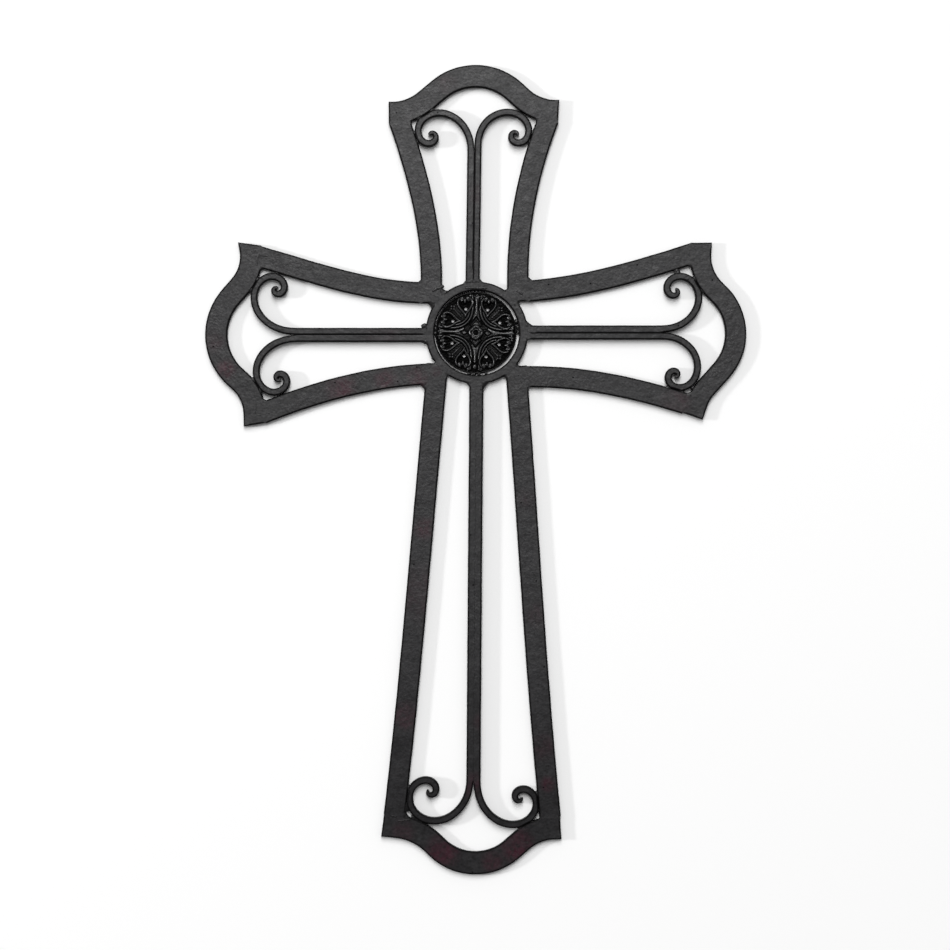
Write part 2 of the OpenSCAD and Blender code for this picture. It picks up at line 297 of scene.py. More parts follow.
def triangulate(loops, extra):
    """Triangles over the loops' points followed by the extra points, inside the outline only."""
    points = np.concatenate(list(loops) + [extra])
    edges, start = [], 0
    for loop in loops:
        edges += [(start + i, start + (i + 1) % len(loop)) for i in range(len(loop))]
        start += len(loop)
    scaled = [Vector((x / MM, z / MM)) for x, z in points]
    found, _, faces, origin, _, _ = delaunay_2d_cdt(scaled, edges, [], 4, 1e-6)
    assert len(found) == len(points), "the outline crosses itself"
    index = [o[0] for o in origin]
    centres = np.array([np.mean([points[index[i]] for i in f], axis=0) for f in faces])
    keep = is_inside(loops[0], centres)
    for hole in loops[1:]:
        keep &= ~is_inside(hole, centres)
    return points, [[index[i] for i in f] for f, k in zip(faces, keep) if k]


# %% [markdown]
# A hammered face isn't flat: it rises and falls by about a tenth of a millimetre over a couple of
# centimetres. The height depends only on the place, so two bars welded side by side still meet.

# %% Build a forged bar
HAMMERED = 0.11 * MM
BROAD_DENTS, CLOSE_DENTS = 23 * MM, 8 * MM
EDGE_ROWS = 4
BACK_CHAMFER = 0.4 * MM
SHARPEST_ARRIS, DEEPEST_SHARE = 0.04 * MM, 0.92
SHARP_EDGE = math.radians(50)


def hammered(x, z):
    """How far the front face stands out at a place."""
    broad = noise.noise(Vector((x / BROAD_DENTS, 0.0, z / BROAD_DENTS)))
    close = noise.noise(Vector((x / CLOSE_DENTS, 5.0, z / CLOSE_DENTS)))
    return HAMMERED * (0.75 * broad + 0.35 * close)


def new_piece(name, vertices, faces, painted_shade_values):
    """A smooth-shaded mesh object that carries how much painted shade each point gets, as at dark edges.
    """
    mesh = bpy.data.meshes.new(name)
    mesh.from_pydata([tuple(map(float, v)) for v in vertices], [], faces)
    mesh.validate()
    layer = mesh.attributes.new("arris", "FLOAT", "POINT")
    layer.data.foreach_set("value", np.asarray(painted_shade_values, np.float32))
    for polygon in mesh.polygons:
        polygon.use_smooth = True
    piece = bpy.data.objects.new(name, mesh)
    bpy.context.collection.objects.link(piece)
    return piece


def wall_rows(rim, core, free, back, depth, arris):
    """Copies of the outline from the back to the front, and the painted edge shade of the points of each.
    """
    radius = SHARPEST_ARRIS + (arris - SHARPEST_ARRIS) * free
    reach = np.maximum(np.linalg.norm(core - rim, axis=1), SLIVER)
    # The last number of each level is its painted edge shade: dark along the arris, none on the flat
    # front.
    levels = [(BACK_CHAMFER * free, back, 0.6), (0 * free, back - BACK_CHAMFER, 0.8)]
    for k in range(EDGE_ROWS + 1):
        angle = math.pi / 2 * k / EDGE_ROWS
        levels.append((radius * (1 - math.cos(angle)), -depth + radius * (1 - math.sin(angle)),
                       1.0 if k < EDGE_ROWS else 0.9))
    rows = []
    for inset, height, _ in levels:
        at = rim + (core - rim) * np.minimum(inset / reach, DEEPEST_SHARE)[:, None]
        rows.append(np.stack([at[:, 0], height * np.ones(len(rim)), at[:, 1]], 1))
    for row in rows[3:]:
        row[:, 1] -= np.array([hammered(x, z) for x, z in row[:, [0, 2]]])
    return rows, [painted_shade_level * free for _, _, painted_shade_level in levels]


def forge(name, welded_to, seam=None, *, arris, rounding, wander, spacing):
    """A closed forged bar from the outline of a solid; a seam is a line and its share of the arris."""
    lo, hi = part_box(name)
    depth = hi.y - lo.y
    finished = [hand_made(loop, arris, rounding, wander, welded_to, seam) for loop in OUTLINES[name]]
    finished.sort(key=lambda parts: -abs(signed_area(parts[0])))
    rim, core = (np.clip(np.concatenate([f[k] for f in finished]), (lo.x, lo.z), (hi.x, hi.z))
                 for k in (0, 1))
    free = np.concatenate([f[2] for f in finished])
    sizes = [len(f[2]) for f in finished]
    cuts, count = np.cumsum(sizes)[:-1], len(rim)
    rows, edge_shade_rows = wall_rows(rim, core, free, hi.y, depth, arris)
    inner = np.split(core, cuts)
    points, faces = triangulate(inner, filling(inner, spacing))
    front = np.array([-depth - hammered(x, z) for x, z in points])
    vertices = np.concatenate(rows + [np.stack([points[:, 0], front, points[:, 1]], 1)])
    # Painted shade: the wall rows keep their edge shade and the flat front gets none.
    values = np.concatenate(edge_shade_rows + [np.zeros(len(points))])
    quads, start = [], 0
    for length in sizes:
        for level in range(len(rows)):
            a = level * count + start
            quads += [(a + i, a + (i + 1) % length, a + count + (i + 1) % length, a + count + i)
                      for i in range(length)]
        start += length
    top = len(rows) * count
    fronts = [tuple(top + i for i in f) for f in faces]
    _, back_faces = triangulate(np.split(rows[0][:, [0, 2]], cuts), np.empty((0, 2)))
    backs = [tuple(f) for f in back_faces]
    return new_piece("forged_" + name, vertices, quads + fronts + backs, values)


def close_up(piece):
    """Turns every face outwards, keeps the sharp edges sharp, and counts edges left open."""
    bm = bmesh.new()
    bm.from_mesh(piece.data)
    bmesh.ops.recalc_face_normals(bm, faces=bm.faces)
    open_edges = sum(1 for e in bm.edges if len(e.link_faces) != 2)
    bm.to_mesh(piece.data)
    bm.free()
    piece.data.set_sharp_from_angle(angle=SHARP_EDGE)
    return open_edges


# %% [markdown]
# The two square bars of a pair lie side by side with a dark seam between them. Beside the ring, weld
# metal has filled the seam over a different length on each arm. Further out the paint has run into it,
# least on the three short arms and most on the foot, so there only a share of the arris is left.

# %% Forge the flat bars, the ring and the scrolls
FILLED_SEAM = {"top": 11 * MM, "left": 3 * MM, "foot": 8 * MM, "right": 6 * MM}
SEAM_SHARE = {"top": 0.52, "left": 0.5, "foot": 0.18, "right": 0.5}
RING_OUTER = max(OUTLINES["hub_ring"], key=signed_area)


def seam_of(name):
    """The line where a scroll bar lies against its partner, and the stretch of it that is welded."""
    arm = name.split("_")[0]
    partner = next(o for o in SCROLLS if o.startswith(arm) and o != name)
    own = OUTLINES[name][0]
    shared = own[distance_to(OUTLINES[partner][0], own) < WELDED]
    shared = shared[np.argsort(np.linalg.norm(shared, axis=1))]
    welded = np.array([shared[0], shared[0] + unit(shared[-1] - shared[0]) * FILLED_SEAM[arm]])
    return shared[[0, -1]], welded


BARS = {}
for n in FLAT_BARS:
    near = [OUTLINES[o][0] for o in FLAT_BARS if o != n] + [RING_OUTER]
    BARS[n] = forge(n, near, arris=1.15 * MM, rounding=0.4 * MM, wander=0.16 * MM, spacing=2.0 * MM)
near = [OUTLINES[o][0] for o in FLAT_BARS + SCROLLS]
BARS["hub_ring"] = forge("hub_ring", near, arris=1.0 * MM, rounding=0.0, wander=0.0, spacing=1.8 * MM)
for n in SCROLLS:
    line, welded = seam_of(n)
    BARS[n] = forge(n, [RING_OUTER, welded], (line, SEAM_SHARE[n.split("_")[0]]),
                    arris=1.1 * MM, rounding=0.9 * MM, wander=0.12 * MM, spacing=1.5 * MM)
for n, piece in BARS.items():
    print(n, "faces", len(piece.data.polygons), "open edges", close_up(piece))

# %% [markdown]
# ## Welds
# The bars are held together by weld metal that has run into the corners. Each corner is found where the
# outlines of two solids stop touching: from there one edge leads off along each of them, and if the
# wedge between the two edges is open, weld metal fills its point with a hollow curve. How far it runs
# along each edge was up to the welder's hand, so a table gives it, in millimetres, wherever it isn't the
# usual length.

# %% Find the open corners between two solids


def walk_along(loop, start, way, length):
    """The point at a given length along a closed loop from one of its points, one way or the other."""
    at, i = loop[start], start
    while length > 0:
        j = (i + way) % len(loop)
        run = np.linalg.norm(loop[j] - at)
        if run >= length:
            return at + (loop[j] - at) * length / run
        length -= run
        at, i = loop[j], j
    return at


def finely(loop):
    out = []
    for a, b in zip(loop, np.roll(loop, -1, axis=0)):
        pieces = max(1, int(np.linalg.norm(b - a) / (0.4 * MM)))
        out += [a + (b - a) * k / pieces for k in range(pieces)]
    return np.array(out)


OUTER = {n: max(loops, key=signed_area) for n, loops in OUTLINES.items()}
FINE = {n: finely(loop) for n, loop in OUTER.items()}
TOUCH, WEDGE_PROBE, SHORT_WALK = 0.12 * MM, 0.7 * MM, 1.5 * MM
NEARLY_STRAIGHT = math.cos(math.radians(145))


def open_corners(first, second, legs):
    """Each open corner where two solids part: its point, and a point one leg along each of them."""
    a, b = FINE[first], FINE[second]
    touching = distance_to(OUTER[second], a) < TOUCH
    found = []
    for i in np.nonzero(touching)[0]:
        for way in (1, -1):
            if touching[(i + way) % len(a)]:
                continue
            leg = legs[min(len(found), len(legs) - 1)] * MM
            j = int(np.argmin(np.linalg.norm(b - a[i], axis=1)))
            ahead = np.array([walk_along(b, j, w, SHORT_WALK) for w in (1, -1)])
            leave = (1, -1)[int(np.argmax(distance_to(OUTER[first], ahead)))]
            along_a, along_b = walk_along(a, i, way, leg), walk_along(b, j, leave, leg)
            spread = float(unit(along_a - a[i]) @ unit(along_b - a[i]))
            wedge = a[i] + unit((along_a + along_b) / 2 - a[i]) * WEDGE_PROBE
            covered = any(is_inside(loop, wedge[None])[0] for loop in OUTER.values())
            if spread > NEARLY_STRAIGHT and not covered:
                found.append((a[i], along_a, along_b))
    return found


# %% Run weld metal into the corners
ROOT_BEHIND, ENDS_SUNK, BACK_CLEAR = 1.9 * MM, 1.2 * MM, 0.15 * MM
HOLLOWNESS, EDGE_FALL = 0.15, 0.22
LUMP, LUMP_GRAIN = 0.22 * MM, 2.2 * MM


def weld_into(corner, along_a, along_b, height, seed):
    """A small closed lump of weld metal with a hollow free side: its vertices and faces."""
    middle = unit((along_a + along_b) / 2 - corner)
    root = corner - middle * ROOT_BEHIND
    ends = []
    for p in (along_a, along_b):
        edge = unit(p - corner)
        across = middle - edge * (middle @ edge)
        ends.append(p - unit(across) * ENDS_SUNK)
    pull = corner + HOLLOWNESS * (along_a + along_b - 2 * corner)
    columns, levels = 12, 7
    vertices = [(root[0], -height, root[1]), (root[0], -BACK_CLEAR, root[1])]
    faces = []
    for k in range(columns + 1):
        u = k / columns
        free = (1 - u) ** 2 * ends[0] + 2 * u * (1 - u) * pull + u ** 2 * ends[1]
        for level in range(1, levels + 1):
            v = level / levels
            x, z = root + (free - root) * v
            lump = LUMP * noise.noise(Vector((x / LUMP_GRAIN, seed, z / LUMP_GRAIN)))
            vertices.append((x, -height * (1 - EDGE_FALL * v ** 6) - lump * (1 - v), z))
        vertices.append((free[0], -BACK_CLEAR, free[1]))
    row = levels + 1
    for k in range(columns):
        p = 2 + k * row
        faces += [(p + level, p + row + level, p + row + level + 1, p + level + 1)
                  for level in range(levels)]
        faces += [(0, p + row, p), (1, p + levels, p + row + levels)]
    last = 2 + columns * row
    faces += [(0, *range(2, 2 + row), 1), (1, *reversed(range(last, last + row)), 0)]
    return vertices, faces


def droplet(centre, half_sizes, seed):
    """A rough little ellipsoid of weld metal: its vertices and faces."""
    vertices, faces = [], []
    rings, around = 7, 10
    for i in range(rings + 1):
        polar = math.pi * i / rings
        for j in range(around if 0 < i < rings else 1):
            turn = 2 * math.pi * j / around
            way = Vector((math.sin(polar) * math.cos(turn), math.sin(polar) * math.sin(turn),
                          math.cos(polar)))
            rough = 1 + 0.3 * noise.noise(way * 1.7 + Vector((seed, 0, 0)))
            vertices.append(tuple(c + w * h * rough for c, w, h in zip(centre, way, half_sizes)))

    def index(i, j):
        return 0 if i == 0 else len(vertices) - 1 if i == rings else 1 + (i - 1) * around + j % around

    for i in range(rings):
        for j in range(around):
            corners = [index(i, j), index(i + 1, j), index(i + 1, j + 1), index(i, j + 1)]
            faces.append(tuple(dict.fromkeys(corners)))
    return vertices, faces


def gather(name, parts, painted_shade_level):
    """One piece out of several closed lumps, all with the same level of painted shade."""
    vertices, faces = [], []
    for some_vertices, some_faces in parts:
        start = len(vertices)
        vertices += some_vertices
        faces += [tuple(start + i for i in f) for f in some_faces]
    piece = new_piece(name, vertices, faces, np.full(len(vertices), painted_shade_level))
    print(name, "lumps", len(parts), "faces", len(piece.data.polygons), "open edges", close_up(piece))
    return piece


# %% Weld the crossing, the caps and the scrolls
LEGS = {
    ("top_bar_left", "left_bar_upper"): (4,), ("top_bar_right", "right_bar_upper"): (5.5,),
    ("foot_bar_left", "left_bar_lower"): (7,), ("foot_bar_right", "right_bar_lower"): (2.5,),
    ("top_bar_left", "hub_ring"): (9.5,), ("top_bar_right", "hub_ring"): (4.5,),
    ("left_bar_upper", "hub_ring"): (7,), ("left_bar_lower", "hub_ring"): (3.5,),
    ("right_bar_upper", "hub_ring"): (5,), ("right_bar_lower", "hub_ring"): (3.5,),
    ("foot_bar_left", "hub_ring"): (3,), ("foot_bar_right", "hub_ring"): (5,),
    ("top_scroll_left", "hub_ring"): (5,), ("top_scroll_right", "hub_ring"): (5.5,),
    ("left_scroll_upper", "hub_ring"): (5,), ("left_scroll_lower", "hub_ring"): (5.5,),
    ("right_scroll_upper", "hub_ring"): (8,), ("right_scroll_lower", "hub_ring"): (2.5,),
    ("foot_scroll_right", "hub_ring"): (8.5,), ("foot_scroll_left", "hub_ring"): (5.5,),
    ("foot_bar_left", "foot_scroll_left"): (11, 4), ("foot_bar_left", "foot_cap"): (7,),
    ("foot_bar_right", "foot_scroll_right"): (5, 2), ("foot_cap", "foot_scroll_right"): (2.5, 5),
    ("foot_bar_right", "foot_cap"): (2,), ("top_bar_left", "top_cap"): (2.5,),
    ("top_bar_left", "top_scroll_left"): (4, 2.5), ("top_bar_right", "top_cap"): (1.5,),
    ("top_bar_right", "top_scroll_right"): (2, 4), ("left_cap", "left_scroll_upper"): (5, 3),
}
CAP_LEG, SCROLL_LEG, CROSSING_LEG = (4,), (5,), (3,)
PROUD = 0.1 * MM
# Painted shade on weld metal: the corner fills darker, the tacks in the ring's gap darker still; the
# beads are a little darker.
FILL_SHADE, BEAD_DARKENING, TACK_SHADE = 0.35, 0.12, 0.5
lumps = {"crossing_welds": [], "cap_welds": [], "scroll_welds": []}
names = list(FINE)
for i, first in enumerate(names):
    for second in names[i + 1:]:
        kinds = {n.split("_")[1] for n in (first, second)}
        gap = np.maximum(FINE[first].min(0) - FINE[second].max(0),
                         FINE[second].min(0) - FINE[first].max(0))
        if kinds == {"scroll"} or gap.max() > TOUCH:
            continue
        if "scroll" in kinds and "ring" not in kinds:
            group, legs = "scroll_welds", SCROLL_LEG
        elif "cap" in kinds:
            group, legs = "cap_welds", CAP_LEG
        else:
            group, legs = "crossing_welds", CROSSING_LEG
        legs = LEGS.get((first, second), LEGS.get((second, first), legs))
        height = min(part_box(n)[1].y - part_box(n)[0].y for n in (first, second)) + PROUD
        for corner, along_a, along_b in open_corners(first, second, legs):
            lumps[group].append(weld_into(corner, along_a, along_b, height, len(lumps[group])))
            print(first, second, "corner at", np.round(corner / MM, 1), "legs", legs)
WELDS = {name: gather(name, parts, FILL_SHADE) for name, parts in lumps.items()}

# %% [markdown]
# Some weld metal was left where it fell: rough beads across the joints, and spatter. Each is a short row
# of overlapping drops, sunk into a face of a given height so that only their tops stand out, ribbed as
# a bead of weld is. The numbers are the two ends of the row, the size of a drop and the height of the
# face, all in millimetres.

# %% Leave beads and spatter on the joints
BEADS = [
    (-40, 38, -31, 42, 1.7, 4.8), (-10, 40.5, 9, 40.5, 1.6, 5.2), (-6, -52.6, 5.6, -52.2, 1.1, 6.0),
    (-48.5, 5.6, -46.6, 6.4, 2.3, 5.4), (-48.5, -7.2, -46.6, -7.8, 2.1, 5.4),
    (-39.8, -23, -38.8, -22, 1.6, 4.8), (38, -38, 38, -38, 1.2, 4.8),
    (-39.5, -37.5, -39.5, -37.5, 1.2, 4.8), (-197, 71, -199, 61, 0.9, 4.8),
    (-196, 70, -189, 69.5, 0.9, 4.8), (-200, -66, -200, -73, 0.9, 4.8),
    (-188, -72.7, -188, -72.7, 1.1, 4.8), (-77, -437, -73, -437.5, 1.2, 4.8),
    (-71, -441.5, -61, -440.5, 1.0, 4.8), (180.5, 56.5, 182.5, 54, 2.5, 4.8),
    (195, -49.7, 195, -49.7, 1.6, 4.8), (36, 38, 41, 35, 1.1, 4.8),
    (-57.5, -437.5, -49, -441, 2.6, 4.7),
]
DROP_SPACING, DROP_SINK, DROP_SHAPE = 0.55, 0.6, np.array((1.1, 0.85, 1.1))
drops = []
for x0, z0, x1, z1, size, level in BEADS:
    count = max(1, round(math.hypot(x1 - x0, z1 - z0) / (DROP_SPACING * size)))
    for k in range(count):
        t = (k + 0.5) / count
        place = np.array((x0 + (x1 - x0) * t, DROP_SINK * size - level, z0 + (z1 - z0) * t)) * MM
        drops.append(droplet(place, DROP_SHAPE * size * MM, len(drops) * 2.3))
WELDS["weld_beads"] = gather("weld_beads", drops, BEAD_DARKENING)

# %% [markdown]
# ## The cast rosette
# The rosette was cast in sand from a carved pattern, so every form on it rises smoothly from one side:
# its whole front is a height above the wall at each place. That makes it a height field. The ridges,
# hearts, beads and petals are each written as a height over the distance to a line, an outline or a
# point, and the tallest one wins wherever they overlap, just as carved forms run into each other.

# %% The rosette's place and size
boss = np.concatenate(front_loops("rosette"))
centre = (boss.min(0) + boss.max(0)) / 2
back_rim = np.array([(v.co.x, v.co.z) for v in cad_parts["rosette"].data.vertices
                     if v.co.y > -COPLANAR]) - centre
reach_out = np.linalg.norm(back_rim, axis=1)
disc_r = float(np.median(reach_out[reach_out > 0.9 * reach_out.max()]))
print("rosette at", np.round(centre / MM, 2), "radius", round(disc_r / MM, 2))

# %% Heights of carved forms, in millimetres


def half_round(d, half_width, base, top):
    """A ridge with a rounded back over the distance d from its line; nothing beyond its half width."""
    inside = np.clip(1 - (d / half_width) ** 2, 0, 1)
    return np.where(inside > 0, base + (top - base) * np.sqrt(inside), 0)


def parabola_distance(px, py, apex, spread):
    """Signed distance to a parabola that opens outwards, positive inside its bowl."""
    return (py - apex - px * px / spread) / np.sqrt(1 + (2 * px / spread) ** 2)


def step(edge, d, soft):
    """0 below the edge and 1 above it, with a soft change."""
    t = np.clip((d - edge) / soft + 0.5, 0, 1)
    return t * t * (3 - 2 * t)


def within(r, radius, soft):
    """1 nearer than a radius and 0 beyond it, with a soft change."""
    return step(-radius, -r, soft)


# %% [markdown]
# The plan of the carving repeats: four panels lie between four leaves, and in each panel two hearts point
# at the centre, one on each side of the panel's middle. So a place is first turned into its own quarter:
# px and py are how far it is across and along the nearest panel, and `at` and `ax` are the same for the
# nearest leaf. The first function gives the height of the leaves and panels, and each later one takes the
# height so far and gives it back with more carved into it. All sizes are millimetres.

# %% Carve the leaves, and the panels with their double ridges
FLOOR, LEAF, RIDGE, LOW_RIDGE, PANEL_FILL = 2.2, 4.6, 6.4, 5.8, 3.2
OUTER_APEX, OUTER_SPREAD = 12.0, 29.0
INNER_APEX, INNER_SPREAD = 14.6, 26.0
RIB_FROM, RIB_TO, LEAF_TO, FILL_TO, OUTER_TO, INNER_TO = 15.0, 31.5, 33.4, 32.0, 34.4, 34.0


def leaves_and_panels(r, px, py, ax, at):
    """The floor, the leaves with their ribs, and the filled panels, each inside two ridges."""
    outer = parabola_distance(px, py, OUTER_APEX, OUTER_SPREAD)
    inner = parabola_distance(px, py, INNER_APEX, INNER_SPREAD)
    h = np.full(len(r), FLOOR)
    leaf = LEAF - 0.02 * at ** 2
    h = np.maximum(h, leaf * step(1.9, -outer, 0.5) * within(r, LEAF_TO, 0.8))
    h = np.maximum(h, half_round(at, 1.0, LEAF, 5.9) * (ax > RIB_FROM) * within(r, RIB_TO, 1.5))
    h = np.maximum(h, PANEL_FILL * step(1.3, inner, 0.6) * within(r, FILL_TO, 0.8))
    h = np.maximum(h, half_round(outer, 0.9, 4.2, RIDGE) * within(r, OUTER_TO, 0.6))
    return np.maximum(h, half_round(inner, 0.8, 4.0, LOW_RIDGE) * within(r, INNER_TO, 0.6))


# %% Carve the hearts
HEART_AT, HEART_SWING, HEART_TILT = 25.3, math.radians(20.5), math.radians(41)
HEART_HALF_WIDTH, HEART_LENGTH, HEART_FORWARD = 6.5, 9.7, 1.1
turn = np.linspace(0, 2 * math.pi, 73)[:-1]
curve = (13 * np.cos(turn) - 5 * np.cos(2 * turn) - 2 * np.cos(3 * turn) - np.cos(4 * turn)) / 17
heart = np.stack([HEART_HALF_WIDTH * np.sin(turn) ** 3, curve * HEART_LENGTH + HEART_FORWARD], 1)
LOBE_ASIDE, LOBE_AHEAD, LOBE_SKEW = 2.9, 6.9, 0.35
LOBE_HALF_WIDTH, LOBE_HALF_LENGTH, CREASE_WIDTH = 1.9, 2.7, 0.45


def hearts(h, px, py):
    """A groove round each heart, a dished inside, a ridge along its edge, and two creased lobes."""
    across = px - HEART_AT * math.sin(HEART_SWING)
    along = py - HEART_AT * math.cos(HEART_SWING)
    hx = across * math.cos(HEART_TILT) - along * math.sin(HEART_TILT)
    hy = across * math.sin(HEART_TILT) + along * math.cos(HEART_TILT)
    place = np.stack([hx, hy], 1)
    away = np.where(is_inside(heart, place), -1, 1) * distance_to(heart, place)
    h = np.where((away > 0.8) & (away < 1.4), np.minimum(h, 3.0), h)
    h = np.where(away < -0.3, 1.7 + 2.4 * step(-1.2, away, 0.9), h)
    h = np.maximum(h, half_round(away, 0.85, 4.2, 6.1))
    for side in (-1, 1):
        lobe_x, lobe_y = hx - side * LOBE_ASIDE, hy - LOBE_AHEAD
        across = lobe_x + side * LOBE_SKEW * lobe_y
        along = lobe_y - side * LOBE_SKEW * lobe_x
        lobe = np.hypot(across / LOBE_HALF_WIDTH, along / LOBE_HALF_LENGTH)
        crease = 0.9 * np.exp(-(across / CREASE_WIDTH) ** 2) * np.clip(1 - lobe, 0, 1)
        h = np.where(lobe < 1, 3.6 + 2.4 * np.sqrt(np.clip(1 - lobe ** 2, 0, 1)) - crease, h)
    return h


# %% Carve the curls, the stems and the buds
CURL_AT, CURL_SWING, CURL_R = 34.0, math.radians(36), 2.1
STEM_FROM, STEM_TO, BUD_AT = 19.5, 30.0, 30.6
BUD_LOBES, BUD_LOBE_R = ((1.7, 0), (0, 1.6), (0, -1.8)), 1.3
TIP_DROPS = ((33.6, 0, 1.25), (32.6, 2.5, 0.9))
SOUTH_BUD_AT, SOUTH_BUD_R, SOUTH_BUD_STRETCH = 31.0, 2.1, 1.25


def stems_and_buds(h, px, py):
    """A curl at each end of a panel's edge, and a stem with a lobed bud along the panel's middle."""
    curl = np.hypot(px - CURL_AT * math.sin(CURL_SWING), py - CURL_AT * math.cos(CURL_SWING))
    h = np.maximum(h, half_round(curl, CURL_R, 3.2, 6.0))
    h = np.where(curl < 0.7, np.minimum(h, 4.0), h)
    h = np.maximum(h, half_round(px, 0.75, 3.2, 5.2) * (py > STEM_FROM) * (py < STEM_TO))
    for du, dv in BUD_LOBES:
        h = np.maximum(h, half_round(np.hypot(px - du, py - BUD_AT - dv), BUD_LOBE_R, 3.4, 6.0))
    return np.where(np.hypot(px, py - BUD_AT) < 0.55, 2.6, h)


def leaf_tips(h, ax, at, south):
    """Three drops at the tip of a leaf, and a single long bud in their place at the bottom."""
    for where, aside, size in TIP_DROPS:
        drop = half_round(np.hypot(ax - where, np.abs(at) - aside), size, 3.4, 5.5)
        h = np.maximum(h, np.where(south, 0, drop))
    bud = np.hypot((ax - SOUTH_BUD_AT) / SOUTH_BUD_STRETCH, at)
    h = np.where(south & (bud < 3.2), FLOOR, h)
    return np.maximum(h, np.where(south, half_round(bud, SOUTH_BUD_R, 3.2, 5.8), 0))


# %% Carve the middle: four outlined diamonds round a square-shouldered ring with a cup in it
DIAMOND_LINE, LINE_WIDTH = 0.82, 0.13
GROOVE_FROM, GROOVE_TO = 7, 11.5
MIDDLE_R, MIDDLE_SQUARENESS, MIDDLE_GROOVE = 4.9, 0.5, 2.2
SEAT_R, CUP_R = 3.4, 2.4


def diamonds(h, r, ax, at, upright, south):
    """Long diamonds above and below the middle, short ones at its sides, each in a groove."""
    north = upright & ~south
    length = np.where(north, 6.5, np.where(south, 5.5, 3.4))
    width = np.where(upright, 5.0, 2.6)
    middle = np.where(upright, 7.0, 10.6)
    diamond = np.abs(at) / width + np.abs(ax - middle) / length
    h = np.minimum(h, 2.6 + 3.8 * step(1.32, diamond, 0.16))
    raised = np.exp(-((diamond - DIAMOND_LINE) / LINE_WIDTH) ** 2)
    h = np.where(diamond < 1, np.maximum(h, 3.9 + 1.6 * raised), h)
    return np.where((r > GROOVE_FROM) & (r < GROOVE_TO) & (diamond > 1.05), np.minimum(h, 3.2), h)


def middle_ring(h, r, angle):
    """A groove, a ring that is nearly square, a seat inside it and the cup."""
    ring_r = MIDDLE_R + MIDDLE_SQUARENESS * np.cos(4 * angle)
    h = np.where(r < ring_r + MIDDLE_GROOVE, np.where(r < ring_r, 4.0, np.minimum(h, 3.0)), h)
    h = np.maximum(h, half_round(r - ring_r, 1.5, 4.2, 7.3 - 0.25 * np.cos(8 * angle)))
    h = np.where(r < SEAT_R, 5.2, h)
    return np.where(r < CUP_R, 2.4, h)


# %% Put the carving together
QUARTER = math.pi / 2
ROSETTE_TURN = math.radians(-2)
EYE_AT, EYE_SWING, EYE_R = 23.5, math.radians(20), 1.35
CARVED_TO, RIM_AT, RIM_HALF_WIDTH, RIM_HEIGHT = 34.5, 36.1, 0.7, 3.4


def relief(u, v):
    """Height of the casting's front, in mm, at points u to the right and v up from its centre."""
    r, angle = np.hypot(u, v), np.arctan2(v, u)
    local = angle - (np.floor(angle / QUARTER) + 0.5) * QUARTER
    px, py = np.abs(r * np.sin(local)), r * np.cos(local)
    axis = np.round(angle / QUARTER) * QUARTER
    ax, at = r * np.cos(angle - axis), r * np.sin(angle - axis)
    upright, south = np.abs(np.abs(axis) - QUARTER) < 0.1, np.abs(axis + QUARTER) < 0.1
    h = leaves_and_panels(r, px, py, ax, at)
    h = hearts(h, px, py)
    h = stems_and_buds(h, px, py)
    h = leaf_tips(h, ax, at, south)
    h = diamonds(h, r, ax, at, upright, south)
    h = middle_ring(h, r, angle)
    h = np.where(r > CARVED_TO, FLOOR, h)
    return np.maximum(h, half_round(r - RIM_AT, RIM_HALF_WIDTH, FLOOR, RIM_HEIGHT))


# %% Cast the rosette
GRAIN = 0.31 * MM
COARSE_SAND, FINE_SAND = 1.6, 0.7
THINNEST = 1.2
DEEP, SHALLOW = 3.0, 4.7


def circle(radius, at, count):
    angles = np.linspace(0, 2 * math.pi, count + 1)[:-1]
    return np.stack([np.cos(angles), np.sin(angles)], 1) * radius + at


edge_loops = [circle(disc_r, centre, 360)]
for quarter in range(4):
    for side in (-1, 1):
        angle = math.radians(45 + 90 * quarter) + side * EYE_SWING + ROSETTE_TURN
        eye = centre + EYE_AT * MM * np.array((math.cos(angle), math.sin(angle)))
        edge_loops.append(circle(EYE_R * MM, eye, 28)[::-1])
points, faces = triangulate(edge_loops, filling(edge_loops, GRAIN))
local = (points - centre) / MM
sand = np.array([0.10 * noise.noise(Vector((x / COARSE_SAND, 2.0, z / COARSE_SAND)))
                 + 0.06 * noise.noise(Vector((x / FINE_SAND, 8.0, z / FINE_SAND))) for x, z in local])
cosine, sine = math.cos(ROSETTE_TURN), math.sin(ROSETTE_TURN)
u = local[:, 0] * cosine + local[:, 1] * sine
v = local[:, 1] * cosine - local[:, 0] * sine
height = np.clip(relief(u, v) + sand, THINNEST, -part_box("rosette")[0].y / MM)
rim_count = sum(len(loop) for loop in edge_loops)
front = np.stack([points[:, 0], -height * MM, points[:, 1]], 1)
back = np.stack([points[:rim_count, 0], np.zeros(rim_count), points[:rim_count, 1]], 1)
quads, start = [], 0
for loop in edge_loops:
    for i in range(len(loop)):
        j = (i + 1) % len(loop)
        quads.append((len(points) + start + i, len(points) + start + j, start + j, start + i))
    start += len(loop)
_, back_faces = triangulate(edge_loops, np.empty((0, 2)))
# Painted shade: the deeper a place lies in the carving, the darker and less glossy it is painted; the
# casting's back edge gets half.
painted_hollow_shade = np.clip((SHALLOW - height) / (SHALLOW - DEEP), 0, 1)
rosette = new_piece("cast_rosette", np.concatenate([front, back]),
                    [tuple(f) for f in faces] + quads
                    + [tuple(len(points) + i for i in f) for f in back_faces],
                    np.concatenate([painted_hollow_shade, np.full(rim_count, 0.5)]))
print("rosette faces", len(rosette.data.polygons), "open edges", close_up(rosette))

# %% [markdown]
# ## Tack welds
# Four tacks hold the rosette in its ring, the longest at the top. Each is a row of drops of weld metal
# that froze across the gap. The table gives where each drop is, in degrees round the ring from the right,
# and its size in millimetres.

